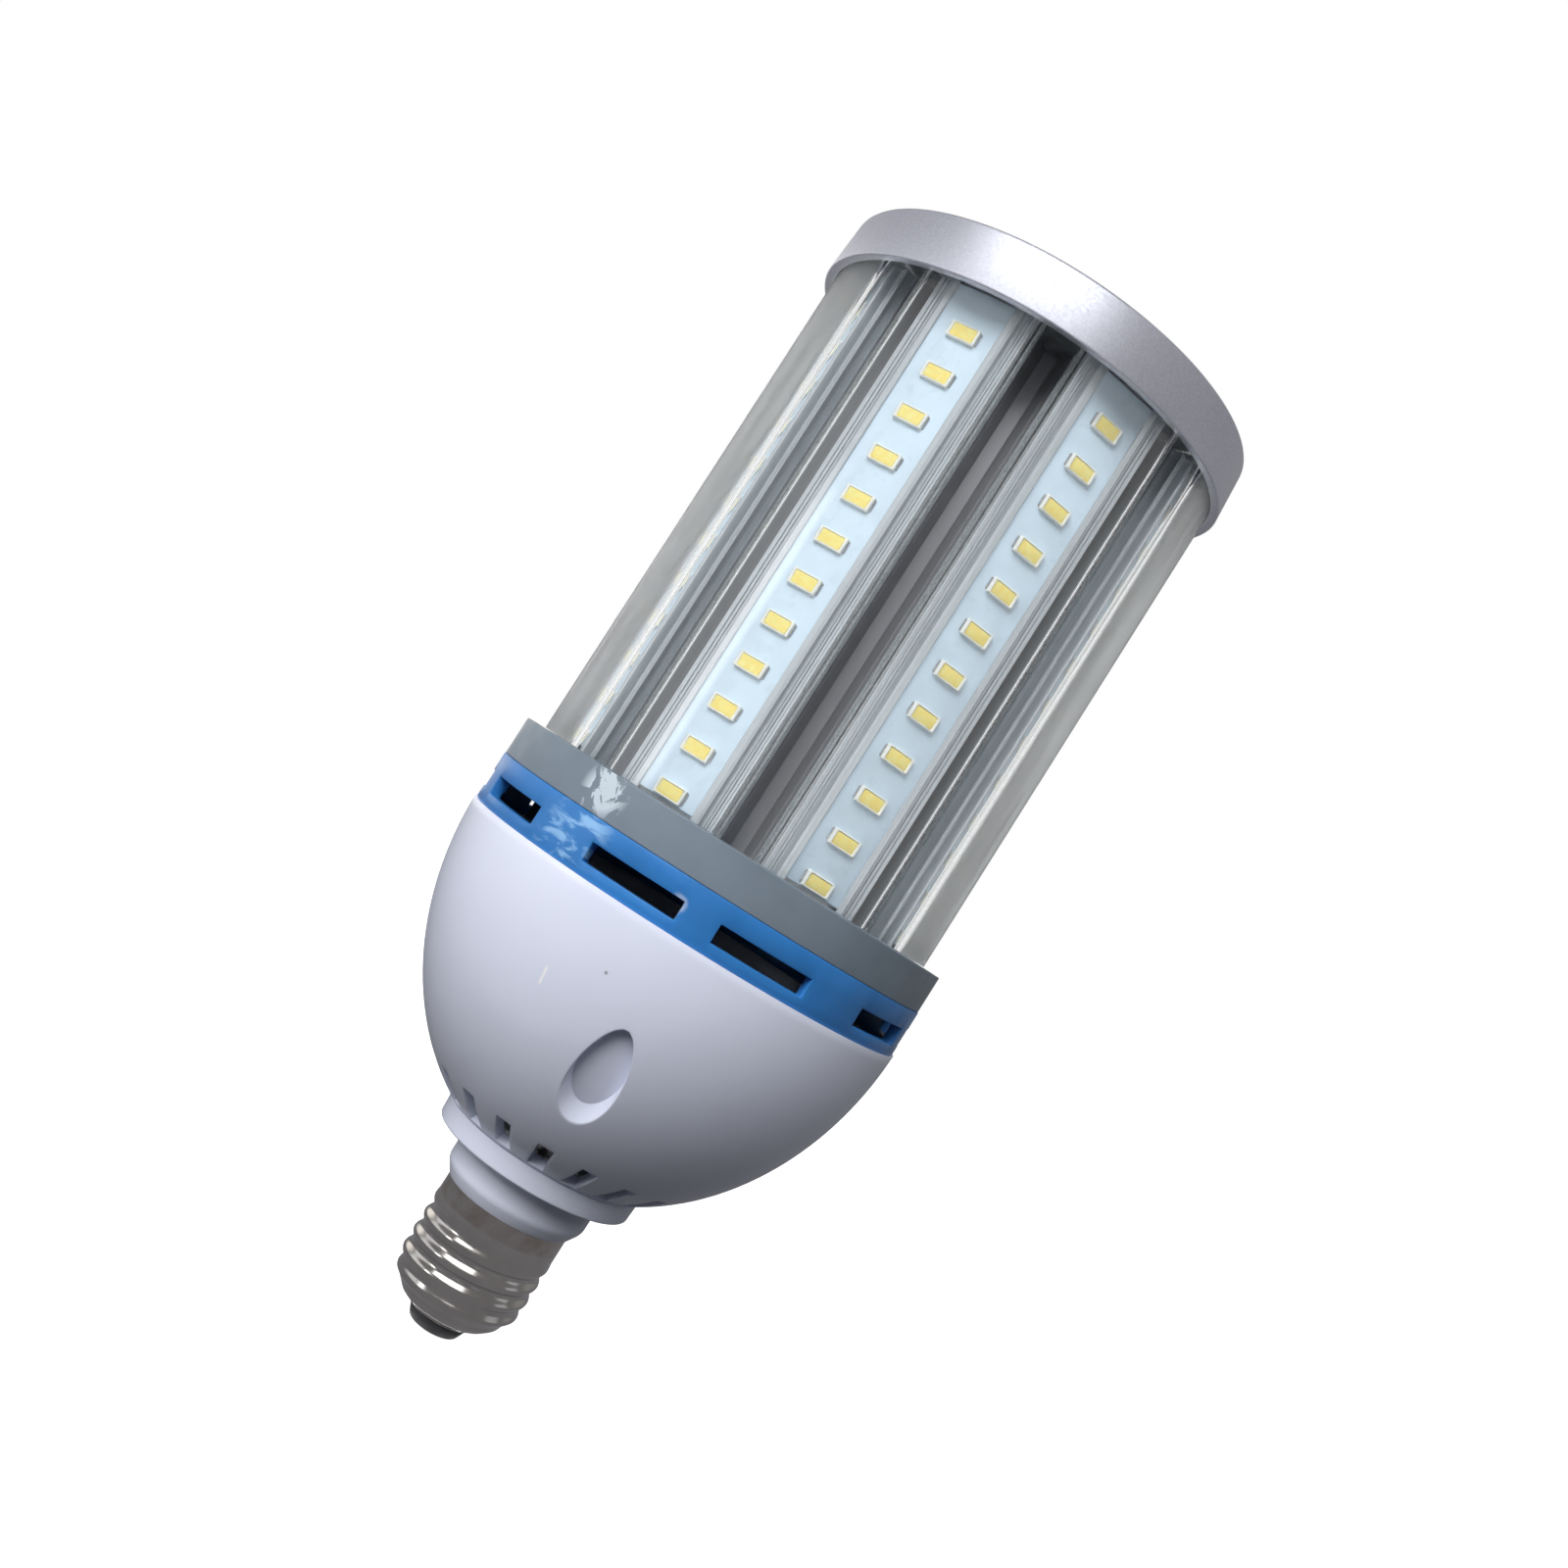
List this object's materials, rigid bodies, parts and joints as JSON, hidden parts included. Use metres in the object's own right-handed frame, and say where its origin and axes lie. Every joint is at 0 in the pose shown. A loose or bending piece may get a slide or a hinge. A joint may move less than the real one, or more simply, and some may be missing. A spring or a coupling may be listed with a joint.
{
  "type": "corn led bulb",
  "caption": "LED corn lamp: eight-sided aluminium column of LED strips under clear covers, silver end cap, blue vent ring, white driver bowl and E27 screw base.",
  "frame": {"origin": "tip of the base contact, on the lamp's axis", "axes": "+Z runs along the axis from the screw base to the end cap; -Y is the front, between two LED strips"},
  "size_m": [0.0942, 0.0942, 0.2235],
  "materials": {
    "contact_metal": "dull",
    "insulator_black": "matte",
    "nickel": "nickel-plated, slightly dull",
    "white_plastic": "smooth moulded, cool white",
    "blue_plastic": "smooth moulded, slightly translucent",
    "grey_plastic": "satin moulded",
    "extruded_aluminium": "plain extrusion with fine die lines",
    "silver_cap": "fine blasted, silver",
    "steel_screw": "zinc-plated",
    "board_white": "white solder mask on an aluminium board",
    "led_yellow": "white package with a yellow phosphor window",
    "clear_plastic": "clear, polished",
    "board_green": "satin solder mask",
    "winding_tape": "taped winding",
    "capacitor_sleeve": "shrink sleeve",
    "lead_sleeve": "insulated wire"
  },
  "bodies": {
    "root": {"contact_button": "contact_metal", "base_insulator": "insulator_black", "screw_shell": "nickel", "base_collar": "white_plastic", "driver_bowl": "white_plastic", "bowl_screws": "steel_screw", "vent_ring": "blue_plastic", "seat_ring": "grey_plastic", "heat_sink": "extruded_aluminium", "end_cap": "silver_cap", "cap_rods": "steel_screw", "driver_board": "board_green", "transformer": "winding_tape", "filter_capacitor": "capacitor_sleeve", "input_choke": "winding_tape", "film_capacitor": "capacitor_sleeve", "rectifier": "insulator_black", "fuse": "capacitor_sleeve", "input_lead": "lead_sleeve", "output_leads": "lead_sleeve", "led_board_1": "board_white", "led_packages_1": "led_yellow", "clear_cover_1": "clear_plastic", "led_board_2": "board_white", "led_packages_2": "led_yellow", "clear_cover_2": "clear_plastic", "led_board_3": "board_white", "led_packages_3": "led_yellow", "clear_cover_3": "clear_plastic", "led_board_4": "board_white", "led_packages_4": "led_yellow", "clear_cover_4": "clear_plastic", "led_board_5": "board_white", "led_packages_5": "led_yellow", "clear_cover_5": "clear_plastic", "led_board_6": "board_white", "led_packages_6": "led_yellow", "clear_cover_6": "clear_plastic", "led_board_7": "board_white", "led_packages_7": "led_yellow", "clear_cover_7": "clear_plastic", "led_board_8": "board_white", "led_packages_8": "led_yellow", "clear_cover_8": "clear_plastic"}
  },
  "joints": []
}
